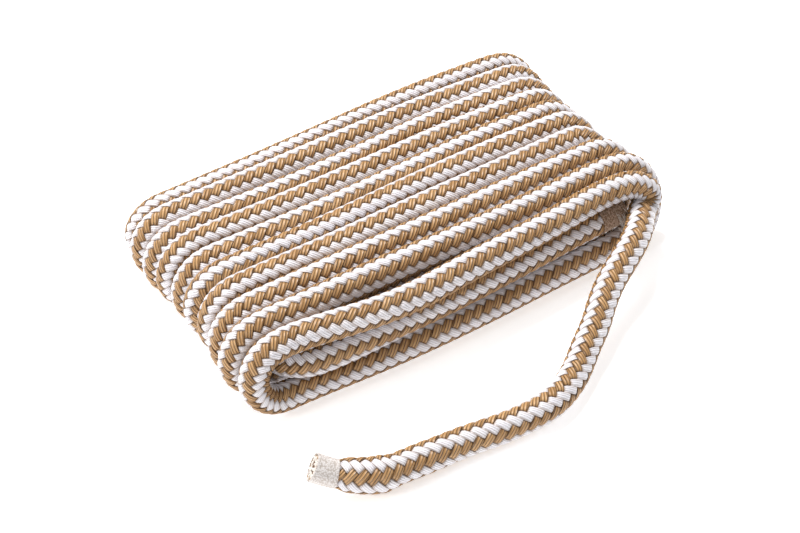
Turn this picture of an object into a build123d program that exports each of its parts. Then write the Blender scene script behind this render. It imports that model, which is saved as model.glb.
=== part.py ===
"""A double-braid dock line stored as a flat hank, with its bitter end lying in front.

Millimetres, +Z up. The origin is on the floor under the middle of the nine tight turns.
X runs along the hank, and the loose front turn and the tail are on its -Y side.
"""
from build123d import *
import os
from math import pi, radians, tan

# ---- the rope -------------------------------------------------------------------------
ROPE_D = 12.7            # half-inch line
CORE_D = 8.8             # the core braid inside the cover
TAPE_WALL = 0.35         # the woven tape wrapped round each cut end
TAIL_TAPE_LENGTH = 10.0
INNER_TAPE_LENGTH = 15.0

# ---- the hank -------------------------------------------------------------------------
TURN_PITCH = 12.1        # the turns are pressed together a little
LOBE_FILLET = 4.4        # rounds each turn's shoulders, and leaves a flat strip below
FRONT_GAP = 3.8          # the front turn stands off the others

# Each tight turn from the back: how far it reaches to the left and right, and its height.
TIGHT_TURNS = [
    (106.0, 111.0, 37.0),
    (106.7, 108.0, 37.5),
    (107.3, 106.3, 37.0),
    (106.7, 104.4, 38.1),
    (107.0, 103.8, 38.1),
    (107.3, 103.0, 39.2),
    (107.3, 101.6, 39.2),
    (109.2, 101.0, 39.2),
    (111.8, 106.0, 39.0),
]
FRONT_LEFT = 112.0
FRONT_RIGHT = 104.5
FRONT_HEIGHT = 38.7
EYE_LEFT = -80.0         # the line's other end turns into the hank here
TOP_RUN_END = 68.0       # the front turn's top run becomes the tail here
FRONT_BEND_TOP = 24.5    # the front turn's right bend goes back into the hank here

# ---- routes of the two stretches that are not coiled -----------------------------------
TAIL_ROUTE = [
    (TOP_RUN_END, -61.3, 32.5),
    (80.0, -61.3, 32.5),
    (88.5, -70.2, 32.2),
    (86.5, -82.0, 31.5),
    (74.0, -88.0, 30.0),
    (57.0, -93.0, 26.0),
    (40.0, -100.0, 18.5),
    (26.0, -109.0, 11.0),
    (11.0, -121.0, 7.0),
    (-5.0, -128.0, 6.4),
    (-26.0, -127.5, 6.4),
    (-48.0, -122.5, 6.4),
    (-68.0, -121.0, 6.4),
    (-90.0, -116.0, 6.8),
    (-107.0, -102.5, 6.8),
]
INNER_ROUTE = [
    (EYE_LEFT, -64.2, 19.4),
    (-25.0, -64.2, 19.4),
    (30.0, -63.3, 19.4),
    (84.0, -61.5, 19.4),
]
RUN_SHARE = 0.45         # the share of the shorter run that each arc takes


def corner_radii(route):
    """The radius of the arc at each inner point of a route."""
    radii = []
    for before, here, after in zip(route, route[1:], route[2:]):
        incoming = Vector(here) - Vector(before)
        outgoing = Vector(after) - Vector(here)
        half_turn = radians(incoming.get_angle(outgoing)) / 2
        shorter_run = min(incoming.length, outgoing.length)
        radii.append(RUN_SHARE * shorter_run / tan(half_turn))
    return radii


def route_wire(route):
    """Straight runs joined by tangent arcs."""
    return FilletPolyline(*route, radius=corner_radii(route)).wire()


def route_tube(path, outer_d, inner_d=0.0):
    """A round or hollow tube along the whole of a path."""
    start = Plane(origin=path @ 0, z_dir=path % 0)
    section = start * Circle(outer_d / 2)
    if inner_d > 0:
        section -= start * Circle(inner_d / 2)
    return sweep(section, path=path)


def end_tape(route, length):
    """The tape round the straight last stretch of a route."""
    tip = Vector(route[-1])
    inward = (Vector(route[-2]) - tip).normalized()
    start = Plane(origin=tip, z_dir=inward)
    ring = start * Circle(ROPE_D / 2 + TAPE_WALL) - start * Circle(ROPE_D / 2)
    return extrude(ring, amount=length, dir=inward)


def turn_lobe(left, right, height, y_back, depth):
    """One turn of the hank, filled in: a slot outline along X with rounded shoulders."""
    outline = Plane.XZ * Pos((right - left) / 2, height / 2) * SlotOverall(right + left, height)
    lobe = Pos(0, y_back, 0) * extrude(outline, amount=depth)
    shoulders = lobe.faces().sort_by(Axis.Y)
    edges = shoulders[0].edges() + shoulders[-1].edges()
    return fillet(edges, LOBE_FILLET)


def front_turn(y_back, depth):
    """The loose front turn: a ring round the line's other end, open where the tail starts."""
    ring = turn_lobe(FRONT_LEFT, FRONT_RIGHT, FRONT_HEIGHT, y_back, depth)
    eye_height = FRONT_HEIGHT - 2 * ROPE_D
    eye_right = FRONT_RIGHT - ROPE_D
    eye_length = eye_right - EYE_LEFT
    eye_box = Pos(EYE_LEFT, 0, ROPE_D) * Box(
        eye_length - eye_height / 2, 4 * depth, eye_height, align=(Align.MIN, Align.CENTER, Align.MIN)
    )
    eye_end = Pos(eye_right - eye_height / 2, 0, ROPE_D + eye_height / 2) * Cylinder(
        eye_height / 2, 4 * depth, rotation=(90, 0, 0)
    )
    eye = Pos(0, y_back - depth / 2, 0) * (eye_box + eye_end)
    bend_room = Pos(TOP_RUN_END, y_back, FRONT_BEND_TOP) * Box(
        2 * FRONT_RIGHT, 4 * depth, FRONT_HEIGHT, align=(Align.MIN, Align.CENTER, Align.MIN)
    )
    return ring - eye - bend_room


def build_hank():
    """The outer shape of the coil: nine tight turns and the loose front turn, as one solid."""
    half_stack = len(TIGHT_TURNS) / 2 * TURN_PITCH
    lobes = [
        turn_lobe(left, right, height, half_stack - index * TURN_PITCH, TURN_PITCH)
        for index, (left, right, height) in enumerate(TIGHT_TURNS)
    ]
    lobes.append(front_turn(-half_stack, FRONT_GAP + ROPE_D))
    return Part() + lobes


def report_route(name, path, route, solid, section_area):
    """Prints a route's length and radii, and its tube's volume against section times length."""
    radii = ", ".join(f"{radius:.1f}" for radius in corner_radii(route))
    ratio = solid.volume / (section_area * path.length)
    print(f"{name}: length {path.length:.1f} mm, volume ratio {ratio:.4f}, radii {radii}")


os.makedirs("parts", exist_ok=True)

tail_path = route_wire(TAIL_ROUTE)
inner_path = route_wire(INNER_ROUTE)
nodes = {
    "hank": build_hank(),
    "tail_cover": route_tube(tail_path, ROPE_D, CORE_D),
    "tail_core": route_tube(tail_path, CORE_D),
    "tail_end_tape": end_tape(TAIL_ROUTE, TAIL_TAPE_LENGTH),
    "inner_end_cover": route_tube(inner_path, ROPE_D, CORE_D),
    "inner_end_core": route_tube(inner_path, CORE_D),
    "inner_end_tape": end_tape(INNER_ROUTE, INNER_TAPE_LENGTH),
}
core_area = pi * CORE_D**2 / 4
cover_area = pi * ROPE_D**2 / 4 - core_area
report_route("tail cover", tail_path, TAIL_ROUTE, nodes["tail_cover"], cover_area)
report_route("tail core", tail_path, TAIL_ROUTE, nodes["tail_core"], core_area)
report_route("inner end cover", inner_path, INNER_ROUTE, nodes["inner_end_cover"], cover_area)
report_route("inner end core", inner_path, INNER_ROUTE, nodes["inner_end_core"], core_area)
for node_name, solid in nodes.items():
    solid.label = node_name
    export_step(solid, f"parts/{node_name}.step")
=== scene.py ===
"""A coiled double-braid dock line: one rope laid up in a flat hank, with its bitter end in front."""

import math
import random

import bpy
import numpy as np
from mathutils import Matrix, Vector


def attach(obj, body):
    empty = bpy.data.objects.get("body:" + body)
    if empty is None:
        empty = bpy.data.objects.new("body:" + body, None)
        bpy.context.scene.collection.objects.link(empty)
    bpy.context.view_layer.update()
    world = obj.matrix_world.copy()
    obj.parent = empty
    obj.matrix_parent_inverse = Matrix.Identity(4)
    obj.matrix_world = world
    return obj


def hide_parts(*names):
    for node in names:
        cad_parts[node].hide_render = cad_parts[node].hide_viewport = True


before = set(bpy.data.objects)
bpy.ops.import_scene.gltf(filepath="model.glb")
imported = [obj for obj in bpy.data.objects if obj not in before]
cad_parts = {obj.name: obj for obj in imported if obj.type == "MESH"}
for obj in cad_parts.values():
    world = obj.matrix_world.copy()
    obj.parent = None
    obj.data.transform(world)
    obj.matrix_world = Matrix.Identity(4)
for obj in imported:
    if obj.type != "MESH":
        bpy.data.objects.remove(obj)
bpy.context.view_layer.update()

D = 0.0127                     # the rope's diameter
MM = 0.001

# ---- camera -------------------------------------------------------------------------------
camera = bpy.data.objects.new("camera", bpy.data.cameras.new("camera"))
bpy.context.scene.collection.objects.link(camera)
camera.data.sensor_width = 36.0
camera.data.lens = 83.3
camera.data.clip_end = 20
right = Vector((0.8268, -0.5624, -0.0071))
up = Vector((0.3807, 0.5503, 0.7431))
ahead = Vector((0.4140, 0.6171, -0.6691))
turn = Matrix((right, up, -ahead)).transposed().to_4x4()
camera.matrix_world = Matrix.Translation((-0.3428, -0.5195, 0.5433)) @ turn
bpy.context.scene.camera = camera

# ---- the rope's route ---------------------------------------------------------------------
# The end that is tucked into the hank, back through the middle layer, and down to the floor.
INNER_ROUTE = [
    (80.5, -60.3, 19.4),
    (64.0, -60.6, 19.3),
    (46.0, -61.6, 19.2),
    (16.0, -63.2, 19.1),
    (-14.0, -64.0, 19.1),
    (-46.0, -64.0, 19.1),
    (-68.0, -64.4, 19.1),
    (-82.5, -62.5, 19.1),
    (-91.0, -54.0, 19.1),
    (-88.0, -43.5, 19.1),
    (-74.0, -38.5, 19.1),
    (-44.0, -38.0, 19.1),
    (0.0, -40.0, 19.1),
    (40.0, -43.5, 19.1),
    (62.0, -46.0, 19.1),
    (77.0, -45.0, 19.1),
    (82.0, -34.0, 19.1),
    (81.5, -14.0, 19.1),
    (82.0, 10.0, 19.1),
    (83.0, 30.0, 18.6),
    (76.0, 43.5, 16.4),
    (58.0, 47.3, 12.0),
    (40.0, 47.5, 7.8),
    (20.0, 47.5, 6.4),
]
# Each turn: reach of its outside to the left and right, height of its top run's centre, and
# where that run lies at x = -82, -41, 0, 41 and 82.
TURNS = [
    (-105.6, 111.0, 27.9, (46.0, 46.5, 48.0, 49.8, 48.3)),
    (-108.4, 107.8, 30.8, (35.2, 35.4, 36.2, 36.1, 33.6)),
    (-108.8, 106.3, 30.4, (23.5, 22.4, 23.4, 24.7, 23.2)),
    (-108.2, 104.4, 31.6, (13.0, 12.0, 12.3, 13.1, 11.5)),
    (-107.8, 103.8, 31.8, (0.2, -0.6, -0.1, 1.7, 0.9)),
    (-108.7, 103.1, 33.0, (-11.4, -12.1, -10.5, -9.9, -10.6)),
    (-108.4, 101.6, 33.0, (-22.6, -23.3, -22.9, -23.1, -22.9)),
    (-110.6, 104.5, 33.0, (-35.0, -34.8, -35.7, -35.5, -35.3)),
    (-112.6, 106.0, 33.0, (-46.6, -46.8, -48.4, -48.9, -47.8)),
    (-111.4, 104.0, 31.8, (-58.6, -67.0, -63.8, -61.8, -59.4)),
]
STATIONS = (-82.0, -41.0, 0.0, 41.0, 82.0)
FLOOR_RUN = 6.4
BEND_REACH = 12.7
# The front turn's lower run at the same stations.
FRONT_LOWER = (-62.8, -66.4, -67.2, -66.2, -65.8)
# The top run's end, which turns down under itself, and the tail out over the floor to the left.
TAIL_ROUTE = [
    (68.0, -59.0, 31.9),
    (79.0, -59.3, 31.9),
    (86.2, -60.6, 31.9),
    (91.6, -62.6, 29.2),
    (94.4, -64.2, 24.0),
    (89.2, -66.4, 20.2),
    (84.2, -70.8, 20.8),
    (78.4, -76.8, 21.6),
    (70.5, -82.6, 21.4),
    (60.5, -87.6, 19.6),
    (49.5, -92.8, 17.0),
    (40.2, -99.1, 14.6),
    (32.1, -105.5, 11.6),
    (23.0, -110.8, 9.2),
    (14.0, -117.2, 7.0),
    (5.0, -122.4, 6.4),
    (-5.5, -126.6, 6.4),
    (-18.0, -127.3, 6.4),
    (-32.0, -126.2, 6.4),
    (-48.0, -123.2, 6.4),
    (-60.0, -122.3, 6.4),
    (-72.0, -121.0, 6.6),
    (-83.5, -120.3, 7.2),
    (-91.0, -116.8, 7.7),
    (-98.0, -111.8, 8.7),
    (-102.4, -109.0, 10.3),
    (-106.1, -106.2, 12.5),
]


def bend(outer, y_from, y_to, z_from, z_to, side):
    """Five points round one end of the hank, from one run's height to the other's."""
    bend_middle_x = outer - side * (D / MM / 2 + BEND_REACH)
    middle_z = (z_from + z_to) / 2
    half = (z_to - z_from) / 2
    spread = 1 / math.cos(math.radians(18))
    points = []
    for angle in (-72, -36, 0, 36, 72):
        a = math.radians(angle)
        share = (angle + 90) / 180
        x = bend_middle_x + side * BEND_REACH * spread * math.cos(a)
        y = y_from + (y_to - y_from) * share
        points.append((x, y, middle_z + half * spread * math.sin(a)))
    return points


LAST = len(TURNS) - 1
route = list(INNER_ROUTE)
for number, (left, right_reach, top, ys) in enumerate(TURNS):
    if number == 0:
        route += [(-41.0, ys[1] + 0.4, FLOOR_RUN), (-82.0, ys[0], FLOOR_RUN)]
        y_low = ys[0]
    else:
        sides = FRONT_LOWER if number == LAST else ys
        route += [(x, y, FLOOR_RUN) for x, y in zip(STATIONS, sides)][::-1]
        y_low = sides[0]
    route += bend(left, y_low, ys[0], FLOOR_RUN, top, -1)
    if number == LAST:
        route += [(x, y, top) for x, y in zip(STATIONS[:4], ys[:4])]
        route += TAIL_ROUTE
    else:
        route += [(x, y, top) for x, y in zip(STATIONS, ys)]
        y_next = FRONT_LOWER[4] if number == LAST - 1 else TURNS[number + 1][3][4]
        route += bend(right_reach, ys[4], y_next, top, FLOOR_RUN, 1)

line_data = bpy.data.curves.new("rope_line", "CURVE")
line_data.dimensions = "3D"
line_data.resolution_u = 12
spline = line_data.splines.new("NURBS")
spline.points.add(len(route) - 1)
for point, place in zip(spline.points, route):
    point.co = (*(c * MM for c in place), 1.0)
spline.order_u = 3
spline.use_endpoint_u = True
line_object = bpy.data.objects.new("rope_line", line_data)
bpy.context.scene.collection.objects.link(line_object)
bpy.context.view_layer.update()
line_mesh = bpy.data.meshes.new_from_object(line_object)
raw = np.array([v.co[:] for v in line_mesh.vertices])
bpy.data.meshes.remove(line_mesh)
bpy.data.objects.remove(line_object)
bpy.data.curves.remove(line_data)

# ---- a frame of directions along the line -------------------------------------------------
STEP = 0.0006


def along(points):
    """Arc length at each point of a line."""
    gaps = np.linalg.norm(np.diff(points, axis=0), axis=1)
    return np.concatenate([[0.0], np.cumsum(gaps)])


def unit(v):
    return v / np.linalg.norm(v, axis=-1, keepdims=True)


def at(values, where):
    """Values along the line, at the given arc lengths."""
    return np.stack([np.interp(where, arc, values[:, k]) for k in range(3)], axis=-1)


raw_arc = along(raw)
keep = np.concatenate([[True], np.diff(raw_arc) > 1e-7])
raw, raw_arc = raw[keep], raw_arc[keep]
ROPE_LENGTH = float(raw_arc[-1])
arc = np.linspace(0, ROPE_LENGTH, int(ROPE_LENGTH / STEP))
centre = np.stack([np.interp(arc, raw_arc, raw[:, k]) for k in range(3)], axis=-1)
heading = unit(np.gradient(centre, axis=0))
side_way = np.zeros_like(centre)
side_way[0] = unit(np.cross(heading[0], (0, 0, 1.0)))
for k in range(1, len(arc)):
    carried = side_way[k - 1] - heading[k] * np.dot(side_way[k - 1], heading[k])
    side_way[k] = carried / np.linalg.norm(carried)
cross_way = np.cross(heading, side_way)

# In a bend the cover keeps its spacing on the outside and bunches up inside, so the braid's own
# length runs ahead of the centreline's.
BUNCHING = 0.65 * D
curving = np.linalg.norm(np.gradient(heading, arc, axis=0), axis=1)
window = np.ones(9) / 9
curving = np.convolve(np.pad(curving, 4, mode="edge"), window, mode="valid")
braid_arc = np.concatenate([[0.0], np.cumsum((1 + BUNCHING * curving[1:]) * np.diff(arc))])
BRAID_LENGTH = float(braid_arc[-1])

# Which way a gold column of each top run faces at the five stations, in degrees up from -Y.
GOLD_FACES = (
    (40, 36, 37, 16, 14),
    (76, 71, 62, 71, 78),
    (71, 48, 42, 61, 71),
    (87, 80, 67, 61, 54),
    (71, 55, 48, 38, 28),
    (123, 103, 93, 75, 55),
    (96, 82, 81, 74, 69),
    (66, 50, 49, 45, 39),
    (56, 38, 42, 36, 37),
    (72, 64, 55, 40, 38),
)
GOLD_COLUMN = 56.25
knots_at, knots_twist = [], []
previous = 0.0
for (left, right_reach, top, ys), faces in zip(TURNS, GOLD_FACES):
    for x, y, face in zip(STATIONS, ys, faces):
        spot = np.array((x, y, top)) * MM
        k = int(np.argmin(np.linalg.norm(centre - spot, axis=1)))
        a = math.radians(face)
        wanted = np.array((0.0, -math.cos(a), math.sin(a)))
        angle = math.degrees(math.atan2(wanted @ cross_way[k], wanted @ side_way[k]))
        knot = angle - GOLD_COLUMN
        knot += 90 * round((previous - knot) / 90)
        previous = knot
        knots_at.append(arc[k])
        knots_twist.append(knot)
# The twist above holds at the five stations of each top run. This is further twist in degrees,
# by distance in mm: along the tucked end, along the front turn's
# lower run, and back from the cut end.
INNER_TWIST = ((0, 50), (56, 40), (92, 25), (110, 35), (128, 60), (146, 80), (164, 70), (330, 0))
LOWER_TWIST = ((461, 22), (627, 24))
TAIL_TWIST = (
    (18, 100), (46, 99), (60, 86), (88, 77), (102, 70), (116, 58), (130, 46), (216, 45), (240, 16)
)
FIRST_OF_FRONT = 5 * (len(TURNS) - 1)
extra_at = [mm * MM for mm, _ in INNER_TWIST]
extra = [degrees for _, degrees in INNER_TWIST]
extra_at += [knots_at[FIRST_OF_FRONT - 1], *(ROPE_LENGTH - mm * MM for mm, _ in LOWER_TWIST[::-1])]
extra += [0, *(degrees for _, degrees in LOWER_TWIST[::-1])]
extra_at += [knots_at[FIRST_OF_FRONT], knots_at[FIRST_OF_FRONT + 3]]
extra_at += [ROPE_LENGTH - mm * MM for mm, _ in TAIL_TWIST[::-1]]
extra += [0, 0, *(degrees for _, degrees in TAIL_TWIST[::-1])]
twist = np.interp(arc, knots_at, knots_twist) + np.interp(arc, extra_at, extra)
twist = np.radians(twist)
east = side_way * np.cos(twist)[:, None] + cross_way * np.sin(twist)[:, None]
north = np.cross(heading, east)

# ---- building meshes ----------------------------------------------------------------------
# How thick the rope is for its diameter, by distance in mm back from the tail's cut end, and
# forward from the tucked one.
SWELL_AT = (0.0, 10.0, 12.5, 19.0, 27.0, 31.5, 34.0, 44.0, 60.0, 90.0)
SWELL = (0.90, 0.90, 1.08, 1.14, 1.20, 1.06, 1.03, 1.05, 1.02, 1.0)
TUCKED_AT = (0.0, 12.0, 15.5)
TUCKED = (0.90, 0.90, 1.0)


def wrap(s, theta, radius):
    """Points at an arc length, an angle round the rope and a distance from its centre."""
    shape = s.shape
    s = s.ravel()
    theta = theta.ravel()
    radius = radius.ravel() * np.interp((ROPE_LENGTH - s) / MM, SWELL_AT, SWELL)
    radius = radius * np.interp(s / MM, TUCKED_AT, TUCKED)
    inside = np.clip(s, 0, ROPE_LENGTH)
    base = at(centre, inside)
    out = at(east, inside) * np.cos(theta)[:, None] + at(north, inside) * np.sin(theta)[:, None]
    spare = (s - inside)[:, None] * at(heading, inside)
    return (base + spare + unit(out) * radius[:, None]).reshape(*shape, 3)


def ring_mesh(name, points, capped=True):
    """A mesh from rings of points: rings along the first axis, places round them along the next."""
    rings, count = points.shape[:2]
    index = np.arange(rings * count).reshape(rings, count)
    after = np.roll(index, -1, axis=1)
    quads = np.stack([index[:-1], after[:-1], after[1:], index[1:]], axis=-1).reshape(-1, 4)
    faces = quads.tolist()
    if capped:
        faces.append(index[0][::-1].tolist())
        faces.append(index[-1].tolist())
    mesh = bpy.data.meshes.new(name)
    mesh.from_pydata(points.reshape(-1, 3).tolist(), [], faces)
    mesh.polygons.foreach_set("use_smooth", [True] * len(mesh.polygons))
    mesh.update()
    obj = bpy.data.objects.new(name, mesh)
    bpy.context.scene.collection.objects.link(obj)
    return obj


def mark(obj, name, values):
    """A number at each vertex, for the material."""
    attribute = obj.data.attributes.new(name, "FLOAT", "POINT")
    attribute.data.foreach_set("value", np.asarray(values, dtype=np.float32).ravel())


# ---- the braid ----------------------------------------------------------------------------
LEAD = 3.34 * D                # how far a strand goes along the rope in one turn round it
MIDDLE_RADIUS = 0.402 * D
WEAVE = 0.052 * D
THICK = 0.096 * D
HALF_WIDTH = 0.134 * D
CROSS_S = LEAD / 16
CROSS_ANGLE = math.pi / 8
LAY_ANGLE = math.atan2(MIDDLE_RADIUS * CROSS_ANGLE, CROSS_S)
TOP_PLACES = (-1.0, -0.9, -0.68, -0.35, 0.0, 0.35, 0.68, 0.9, 1.0)
# Where the rings of a strand lie within each four strands it crosses, from a float's middle.
RING_PLACES = (0.0, 0.45, 0.78, 1.0, 1.3, 2.0, 2.7, 3.0, 3.22, 3.55)
LOW_PLACES = (0.62, 0.0, -0.62)
TAIL_TAPE = 9.4 * MM
INNER_TAPE = 13.0 * MM
rng = random.Random(11)


def braid_strand(number, gold):
    """One of the cover's sixteen strands, over two and under two of those it crosses.

    The white strands wind one way round and the gold ones the other. A strand's ends are cut
    square to it by the first and last ring.
    """
    span = BRAID_LENGTH / CROSS_S
    periods = np.arange(-2, int(span / 4) + 2) * 4.0
    middle = (0.5 - 2 * number) % 4 if not gold else (2 * number - 2.5) % 4
    steps = (periods[:, None] + np.array(RING_PLACES)[None, :] + middle).ravel()
    steps = np.concatenate([[0.0], steps[(steps > 0.05) & (steps < span - 0.05)], [span]])
    cross = number + steps if not gold else number - steps
    hand = -1.0 if gold else 1.0
    s_mid = CROSS_S * (cross - number) * hand
    theta_mid = CROSS_ANGLE * (number + cross)
    across = np.array(TOP_PLACES + LOW_PLACES)
    is_top = np.array([1.0] * len(TOP_PLACES) + [0.0] * len(LOW_PLACES))
    w = across * HALF_WIDTH
    ds = -hand * w * math.sin(LAY_ANGLE)
    dtheta = w * math.cos(LAY_ANGLE) / MIDDLE_RADIUS
    dcross = (dtheta / CROSS_ANGLE + hand * ds / CROSS_S) / 2
    s = s_mid[:, None] + ds[None, :]
    theta = theta_mid[:, None] + dtheta[None, :]
    total = number + cross[:, None] + dcross[None, :]
    wave = np.cos(math.pi / 2 * (total - 0.5)) * hand
    rise = 0.82 * np.tanh(3.0 * wave) + 0.18 * wave
    dome = np.sqrt(np.clip(1 - np.abs(across) ** 3.0, 0, 1))
    lift = np.where(is_top > 0, dome * THICK / 2, -THICK / 2 * 0.8)
    radius = MIDDLE_RADIUS + WEAVE * rise + lift[None, :]
    points = wrap(np.interp(s, braid_arc, arc), theta, radius)
    name = f"cover_strand_{'gold' if gold else 'white'}_{number % 8 + 1}"
    obj = ring_mesh(name, points if not gold else points[:, ::-1])
    order = slice(None) if not gold else slice(None, None, -1)
    shape = s.shape
    mark(obj, "across", np.broadcast_to(across, shape)[:, order])
    step_length = math.hypot(CROSS_S, MIDDLE_RADIUS * CROSS_ANGLE) / D
    strand_way = np.broadcast_to((steps * step_length)[:, None], shape)
    mark(obj, "along", strand_way[:, order])
    mark(obj, "rise", rise[:, order])
    floats = np.floor((number + cross - 0.5 + (0 if gold else 2)) / 4).astype(int)
    tones = {f: rng.random() for f in sorted(set(floats.tolist()))}
    tone = np.array([tones[f] for f in floats.tolist()])
    mark(obj, "tone", np.broadcast_to(tone[:, None], shape)[:, order])
    return obj


strands = []
for number in range(8):
    strands.append(braid_strand(number, False))
for number in range(8):
    strands.append(braid_strand(number, True))

# ---- the core, coloured dark as painted shade where it shows between the cover's strands; the real core is white ---
CORE_RADIUS = 0.365 * D
CORE_STEP = 0.0025
core_arc = np.linspace(0, ROPE_LENGTH, int(ROPE_LENGTH / CORE_STEP))
core_angles = np.linspace(0, 2 * math.pi, 16, endpoint=False)
core_points = wrap(
    np.repeat(core_arc[:, None], 16, axis=1),
    np.repeat(core_angles[None, :], len(core_arc), axis=0),
    np.full((len(core_arc), 16), CORE_RADIUS),
)
core = ring_mesh("core", core_points)

# ---- the tapes ----------------------------------------------------------------------------


def tape_wrap(name, s_from, s_to, radius, rings=26, sides=48):
    """Woven tape round one end of the rope."""
    s_line = np.linspace(s_from, s_to, rings)
    angles = np.linspace(0, 2 * math.pi, sides, endpoint=False)
    s = np.repeat(s_line[:, None], sides, axis=1)
    theta = np.repeat(angles[None, :], rings, axis=0)
    bulge = radius + 0.012 * D * np.sin(2 * theta + 3 * s / D) + 0.006 * D * np.sin(5 * theta)
    outer = wrap(s, theta, bulge)
    inner = wrap(s[::-1], theta, bulge - 0.03 * D)
    ring = np.concatenate([outer, inner, outer[:1]], axis=0)
    obj = ring_mesh(name, ring, capped=False)
    return obj


def merged(name, shells, faces_of_one, values):
    """Many small equal shells as one mesh, with a number for each shell."""
    verts, faces, tones = [], [], []
    for shell, value in zip(shells, values):
        base = len(verts)
        verts += [tuple(v) for v in shell]
        faces += [[base + k for k in face] for face in faces_of_one]
        tones += [value] * len(shell)
    mesh = bpy.data.meshes.new(name)
    mesh.from_pydata(verts, [], faces)
    mesh.polygons.foreach_set("use_smooth", [True] * len(mesh.polygons))
    mesh.update()
    obj = bpy.data.objects.new(name, mesh)
    bpy.context.scene.collection.objects.link(obj)
    mark(obj, "tone", tones)
    return obj


def tube_faces(rings, sides):
    """The faces of a capped tube."""
    faces = [list(range(sides))[::-1], [(rings - 1) * sides + k for k in range(sides)]]
    for r in range(rings - 1):
        for k in range(sides):
            a, b = r * sides + k, r * sides + (k + 1) % sides
            faces.append([a, b, b + sides, a + sides])
    return faces


def cut_fibres(name, end, outward, count, radius, seed):
    """The cut ends of the core's yarns, standing unevenly out of the tape."""
    pick = random.Random(seed)
    middle, axis_a, axis_b = centre[end], east[end], north[end]
    shells, values = [], []
    for k in range(count):
        share = math.sqrt((k + 0.5) / count)
        angle = k * 2.39996 + pick.uniform(-0.15, 0.15)
        spot = middle + radius * share * (axis_a * math.cos(angle) + axis_b * math.sin(angle))
        height = pick.uniform(-0.2, 0.55) * MM
        lean = np.array([pick.uniform(-0.3, 0.3) for _ in range(3)]) * MM
        thick = 1.35 * radius / math.sqrt(count)
        shell = []
        for out, size in ((-2.5 * MM, 1.0), (height - 0.25 * MM, 1.0), (height, 0.62)):
            for side in range(6):
                a = side * math.pi / 3
                round_it = thick * size * (axis_a * math.cos(a) + axis_b * math.sin(a))
                shift = lean if out > 0 or size < 1 else 0
                shell.append(spot + outward * out + round_it + shift)
        shells.append(shell)
        heart = abs(share * math.cos(angle)) * 1.6 + abs(share * math.sin(angle)) * 0.5
        if share > 0.88:
            values.append(pick.choice((0.5, 0.55, 0.6, 0.3)))
        else:
            values.append(pick.uniform(0.8, 1.0) if heart < 0.33 else pick.uniform(0.0, 0.35))
    return merged(name, shells, tube_faces(3, 6), values)


DROOP = np.array((-0.35, -0.75, -0.60))     # the way that loose filaments hang


def frayed_ends(name, end, outward, count, radius, seed):
    """Loose filaments that stick out of a cut end and droop."""
    pick = random.Random(seed)
    middle, axis_a, axis_b = centre[end], east[end], north[end]
    shells, values = [], []
    for k in range(count):
        angle = pick.uniform(0, 2 * math.pi)
        spread = axis_a * math.cos(angle) + axis_b * math.sin(angle)
        if spread @ DROOP < 0:
            spread = -spread
        place = middle + spread * radius - outward * pick.uniform(-0.5, 6.0) * MM
        way = 0.3 * outward + spread * pick.uniform(0.1, 0.6) + DROOP * pick.uniform(0.6, 1.3)
        way = way / np.linalg.norm(way)
        shell = []
        for ring in range(8):
            thin = 0.15 * MM * (1 - ring / 9)
            across_a = unit(np.cross(way, (0.3, 0.2, 1.0)))
            across_b = np.cross(way, across_a)
            for side in range(3):
                a = side * 2 * math.pi / 3
                shell.append(place + thin * (across_a * math.cos(a) + across_b * math.sin(a)))
            place = place + way * pick.uniform(0.6, 1.05) * MM
            bendy = np.array([pick.uniform(-1, 1) for _ in range(3)])
            way = unit(way + 0.32 * bendy + np.array((0, 0, -0.12)))
        shells.append(shell)
        values.append(pick.uniform(0.0, 0.35))
    return merged(name, shells, tube_faces(8, 3), values)


tail_tape = tape_wrap("tail_tape", ROPE_LENGTH - TAIL_TAPE, ROPE_LENGTH + 0.0006, 0.522 * D)
inner_tape = tape_wrap("inner_tape", -0.0006, INNER_TAPE, 0.535 * D)
tail_fibres = cut_fibres("tail_core_fibres", -1, heading[-1], 170, 0.405 * D, 3)
inner_fibres = cut_fibres("inner_core_fibres", 0, -heading[0], 170, 0.43 * D, 4)
frayed = frayed_ends("inner_frayed_filaments", 0, -heading[0], 60, 0.53 * D, 5)

# ---- materials ----------------------------------------------------------------------------


def new_material(name, colour):
    material = bpy.data.materials.new(name)
    material.use_nodes = True
    shader = material.node_tree.nodes["Principled BSDF"]
    shader.inputs["Base Color"].default_value = (*colour, 1)
    return material, material.node_tree, shader


def maths(tree, kind, a, b=None):
    """A Math node; a and b are sockets or numbers."""
    node = tree.nodes.new("ShaderNodeMath")
    node.operation = kind
    for socket, value in zip(node.inputs, (a, b)):
        if value is None:
            continue
        if isinstance(value, (int, float)):
            socket.default_value = value
        else:
            tree.links.new(value, socket)
    return node.outputs[0]


def attribute(tree, name):
    node = tree.nodes.new("ShaderNodeAttribute")
    node.attribute_name = name
    return node.outputs["Fac"]


def mix(tree, factor, a, b):
    """A colour between two; each is a socket or a colour."""
    node = tree.nodes.new("ShaderNodeMix")
    node.data_type = "RGBA"
    tree.links.new(factor, node.inputs["Factor"])
    for socket, value in ((node.inputs[6], a), (node.inputs[7], b)):
        if isinstance(value, tuple):
            socket.default_value = (*value, 1)
        else:
            tree.links.new(value, socket)
    return node.outputs[2]


def ramp(tree, value, low, high):
    node = tree.nodes.new("ShaderNodeMapRange")
    node.inputs["From Min"].default_value = low
    node.inputs["From Max"].default_value = high
    tree.links.new(value, node.inputs["Value"])
    return node.outputs["Result"]


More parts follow.
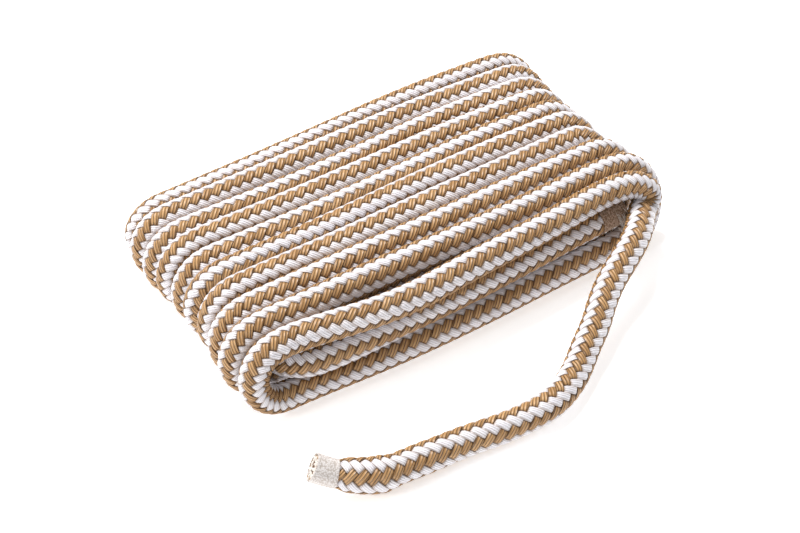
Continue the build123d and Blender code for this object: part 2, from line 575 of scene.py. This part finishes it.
def strand_material(name, bright, dull, painted_shade_colour, yarns, slant, rough, relief, lined_to):
    """Satin filaments: yarns side by side across the strand, with painted shade in the creases between
    yarns, at the strand's edges and where it dives under the strands it crosses.
    """
    material, tree, shader = new_material(name, bright)
    across = attribute(tree, "across")
    along_way = attribute(tree, "along")
    rise = attribute(tree, "rise")
    tone = attribute(tree, "tone")
    phase = maths(
        tree, "ADD", maths(tree, "MULTIPLY", across, yarns * math.pi),
        maths(tree, "MULTIPLY", along_way, slant),
    )
    ridges = maths(tree, "ABSOLUTE", maths(tree, "COSINE", maths(tree, "MULTIPLY", phase, 0.5)))
    fine = tree.nodes.new("ShaderNodeTexNoise")
    fine.inputs["Scale"].default_value = 1.0
    fine.inputs["Detail"].default_value = 2.0
    place = tree.nodes.new("ShaderNodeCombineXYZ")
    tree.links.new(maths(tree, "MULTIPLY", across, yarns * 1.1), place.inputs["X"])
    tree.links.new(maths(tree, "MULTIPLY", along_way, 1.2), place.inputs["Y"])
    tree.links.new(maths(tree, "MULTIPLY", tone, 17.0), place.inputs["Z"])
    tree.links.new(place.outputs[0], fine.inputs["Vector"])
    body = mix(tree, ramp(tree, tone, 0.0, 1.0), bright, dull)
    # The dark lines between the yarns are painted shade in their creases.
    lined = mix(tree, ramp(tree, ridges, 0.70, lined_to), body, painted_shade_colour)
    streaked = mix(tree, ramp(tree, fine.outputs["Fac"], 0.62, 0.25), lined, dull)
    # Painted shade: darker towards the strand's edges, where it meets its neighbours, and where it dives
    # under the strands it crosses.
    edge = maths(tree, "POWER", maths(tree, "ABSOLUTE", across), 4.0)
    low = ramp(tree, rise, 0.80, 0.0)
    shade = maths(tree, "MAXIMUM", maths(tree, "MULTIPLY", edge, 0.85), low)
    final = mix(tree, shade, streaked, painted_shade_colour)
    tree.links.new(final, shader.inputs["Base Color"])
    shader.inputs["Roughness"].default_value = rough
    shader.inputs["Specular IOR Level"].default_value = 0.55
    bump = tree.nodes.new("ShaderNodeBump")
    bump.inputs["Strength"].default_value = relief
    bump.inputs["Distance"].default_value = 0.0003
    height = maths(tree, "ADD", ridges, maths(tree, "MULTIPLY", fine.outputs["Fac"], 0.6))
    tree.links.new(height, bump.inputs["Height"])
    tree.links.new(bump.outputs[0], shader.inputs["Normal"])
    return material


# The third colour given to each material is its painted shade colour.
gold_material = strand_material(
    "gold_nylon", (0.62, 0.37, 0.165), (0.43, 0.23, 0.085), (0.032, 0.010, 0.002), 3.0, 5.0, 0.42, 0.9, 0.12
)
white_material = strand_material(
    "white_nylon", (0.92, 0.90, 0.93), (0.83, 0.81, 0.86), (0.46, 0.35, 0.28), 4.0, 0.6, 0.33, 0.8, -0.35
)
# The core's colour is painted shade, not its own white.
core_painted_shade_material, core_tree, core_shader = new_material("core_nylon", (0.05, 0.028, 0.014))
core_shader.inputs["Roughness"].default_value = 0.8


def tape_look(name, pale, deep):
    """Woven cotton tape: small uneven knots of thread."""
    material, tree, shader = new_material(name, pale)
    where = tree.nodes.new("ShaderNodeTexCoord").outputs["Object"]
    shader.inputs["Roughness"].default_value = 0.85
    weave = tree.nodes.new("ShaderNodeTexVoronoi")
    weave.inputs["Scale"].default_value = 1500.0
    tree.links.new(where, weave.inputs["Vector"])
    patches = tree.nodes.new("ShaderNodeTexNoise")
    patches.inputs["Scale"].default_value = 500.0
    tree.links.new(where, patches.inputs["Vector"])
    patchy = maths(tree, "MULTIPLY", patches.outputs["Fac"], 0.5)
    knots = maths(tree, "ADD", weave.outputs["Distance"], patchy)
    tree.links.new(mix(tree, ramp(tree, knots, 0.55, 0.95), pale, deep), shader.inputs["Base Color"])
    bump = tree.nodes.new("ShaderNodeBump")
    bump.inputs["Strength"].default_value = 0.35
    bump.inputs["Distance"].default_value = 0.0005
    bump.invert = True
    tree.links.new(weave.outputs["Distance"], bump.inputs["Height"])
    tree.links.new(bump.outputs[0], shader.inputs["Normal"])
    return material


tail_tape_material = tape_look("end_tape", (0.76, 0.72, 0.70), (0.50, 0.44, 0.40))
# The tucked end's tape is really cream; its brown colours are painted shade cast by the top run above it.
inner_tape_material = tape_look("end_tape_painted_shade", (0.50, 0.36, 0.27), (0.20, 0.12, 0.07))
fibre_material, fibre_tree, fibre_shader = new_material("cut_fibres", (0.8, 0.77, 0.72))
fibre_shader.inputs["Roughness"].default_value = 0.7
fibre_ramp = fibre_tree.nodes.new("ShaderNodeValToRGB")
stops = fibre_ramp.color_ramp.elements
stops[0].position, stops[0].color = 0.3, (0.76, 0.70, 0.64, 1)
stops[1].position, stops[1].color = 0.8, (0.12, 0.055, 0.022, 1)
tan_stop = stops.new(0.55)
tan_stop.color = (0.38, 0.25, 0.14, 1)
fibre_tree.links.new(attribute(fibre_tree, "tone"), fibre_ramp.inputs[0])
fibre_tree.links.new(fibre_ramp.outputs[0], fibre_shader.inputs["Base Color"])

for obj in strands:
    gold = "gold" in obj.name
    obj.data.materials.append(gold_material if gold else white_material)
    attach(obj, "root")
core.data.materials.append(core_painted_shade_material)
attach(core, "root")
for obj in (tail_fibres, inner_fibres, frayed):
    obj.data.materials.append(fibre_material)
    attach(obj, "root")
for obj, look in ((tail_tape, tail_tape_material), (inner_tape, inner_tape_material)):
    obj.data.materials.append(look)
    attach(obj, "root")

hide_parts("hank", "tail_core", "inner_end_core")
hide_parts("tail_cover", "inner_end_cover")
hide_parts("tail_end_tape")
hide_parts("inner_end_tape")

# ---- floor and light ----------------------------------------------------------------------
bpy.ops.mesh.primitive_plane_add(size=6, location=(0, 0, -0.0002))
floor = bpy.context.object
floor.name = "floor"
floor_material, floor_tree, floor_shader = new_material("floor", (0.95, 0.95, 0.95))
floor_shader.inputs["Roughness"].default_value = 0.9
floor_shader.inputs["Emission Color"].default_value = (1, 1, 1, 1)
floor_shader.inputs["Emission Strength"].default_value = 0.5
floor.data.materials.append(floor_material)

world = bpy.data.worlds.new("studio")
bpy.context.scene.world = world
world.use_nodes = True
world.node_tree.nodes["Background"].inputs["Color"].default_value = (1, 1, 1, 1)
world.node_tree.nodes["Background"].inputs["Strength"].default_value = 0.47


def area_light(name, place, target, size, power):
    data = bpy.data.lights.new(name, "AREA")
    data.shape = "DISK"
    data.size = size
    data.energy = power
    lamp = bpy.data.objects.new(name, data)
    bpy.context.scene.collection.objects.link(lamp)
    lamp.location = place
    lamp.rotation_euler = (Vector(target) - Vector(place)).to_track_quat("-Z", "Y").to_euler()


area_light("key", (0.15, 0.75, 1.5), (0, 0, 0), 0.6, 34)
area_light("left", (-1.5, 0.1, 0.8), (0, 0, 0), 0.5, 9)

bpy.context.scene.view_settings.view_transform = "Standard"
